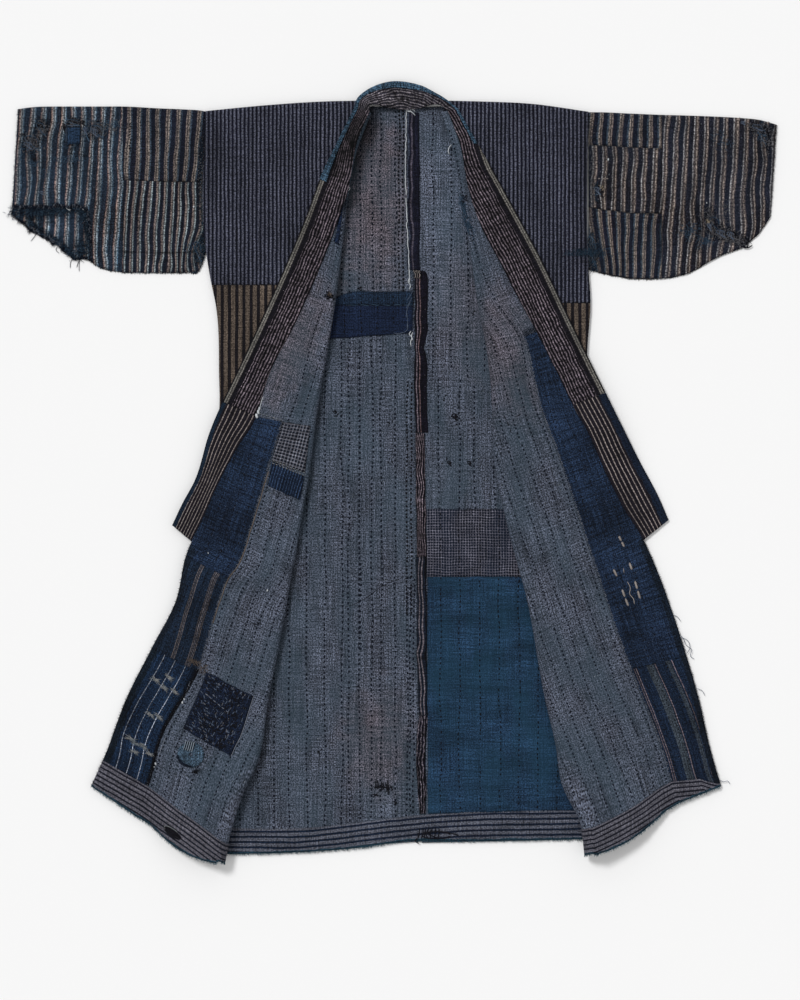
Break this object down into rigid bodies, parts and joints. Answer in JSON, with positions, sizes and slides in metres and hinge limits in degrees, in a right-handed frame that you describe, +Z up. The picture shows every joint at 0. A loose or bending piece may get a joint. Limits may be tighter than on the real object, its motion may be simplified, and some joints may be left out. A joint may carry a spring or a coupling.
{
  "type": "patched boro jacket",
  "caption": "Open work jacket of quilted indigo cotton, patched inside, lying on its back with both fronts turned out and its sleeves spread.",
  "frame": {"origin": "middle of the jacket's box, on the surface that it lies on", "axes": "+Y from the hem to the collar, +X to the wearer's left, +Z up from the surface"},
  "size_m": [1.1842, 1.2076, 0.0378],
  "materials": {
    "navy_grey_stripe_cotton": "matte, woven",
    "brown_stripe_cotton": "matte, woven",
    "grey_blue_lining_cotton": "matte, woven",
    "indigo_cotton": "matte, woven",
    "navy_cotton": "matte, woven",
    "fine_stripe_navy_cotton": "matte, woven",
    "pinstripe_cotton": "matte, woven",
    "dark_brown_stripe_cotton": "matte, woven",
    "black_stripe_cotton": "matte, woven",
    "check_cotton": "matte, woven",
    "hem_stripe_cotton": "matte, woven",
    "teal_binding_cotton": "matte, woven",
    "sleeve_stripe_cotton": "matte, woven"
  },
  "bodies": {
    "root": {"right_body_outer": "navy_grey_stripe_cotton", "left_body_outer": "navy_grey_stripe_cotton", "right_front_lower": "brown_stripe_cotton", "left_front_lower": "brown_stripe_cotton", "right_overlap_outer": "navy_cotton", "left_overlap_outer": "navy_cotton", "right_body_lining": "grey_blue_lining_cotton", "left_body_lining": "grey_blue_lining_cotton", "right_overlap_indigo": "indigo_cotton", "right_overlap_striped": "dark_brown_stripe_cotton", "right_overlap_pinstripe": "pinstripe_cotton", "left_overlap_indigo": "indigo_cotton", "left_overlap_striped": "dark_brown_stripe_cotton", "right_collar_end": "dark_brown_stripe_cotton", "left_collar_end": "dark_brown_stripe_cotton", "right_collar_band": "black_stripe_cotton", "left_collar_band": "black_stripe_cotton", "neck_collar": "black_stripe_cotton", "neck_binding": "teal_binding_cotton", "right_hem_facing": "hem_stripe_cotton", "back_hem_facing": "hem_stripe_cotton", "left_hem_facing": "hem_stripe_cotton", "back_strip_1": "black_stripe_cotton", "back_strip_2": "black_stripe_cotton", "back_strip_3": "dark_brown_stripe_cotton", "back_strip_4": "navy_cotton", "back_strip_5": "black_stripe_cotton", "back_patch_navy_upper": "fine_stripe_navy_cotton", "back_patch_navy_lower": "navy_cotton", "back_patch_check": "check_cotton", "back_panel_indigo": "indigo_cotton", "right_patch_small": "navy_cotton", "right_patch_check": "check_cotton", "right_patch_fine": "fine_stripe_navy_cotton", "right_patch_mottled": "navy_cotton", "right_mend_round": "fine_stripe_navy_cotton", "right_sleeve": "sleeve_stripe_cotton", "right_sleeve_upper": "sleeve_stripe_cotton", "right_sleeve_middle": "sleeve_stripe_cotton", "right_sleeve_lower": "sleeve_stripe_cotton", "right_sleeve_mend": "indigo_cotton", "left_sleeve": "sleeve_stripe_cotton", "left_sleeve_upper": "sleeve_stripe_cotton", "left_sleeve_middle": "sleeve_stripe_cotton", "left_sleeve_lower": "sleeve_stripe_cotton"}
  },
  "joints": []
}
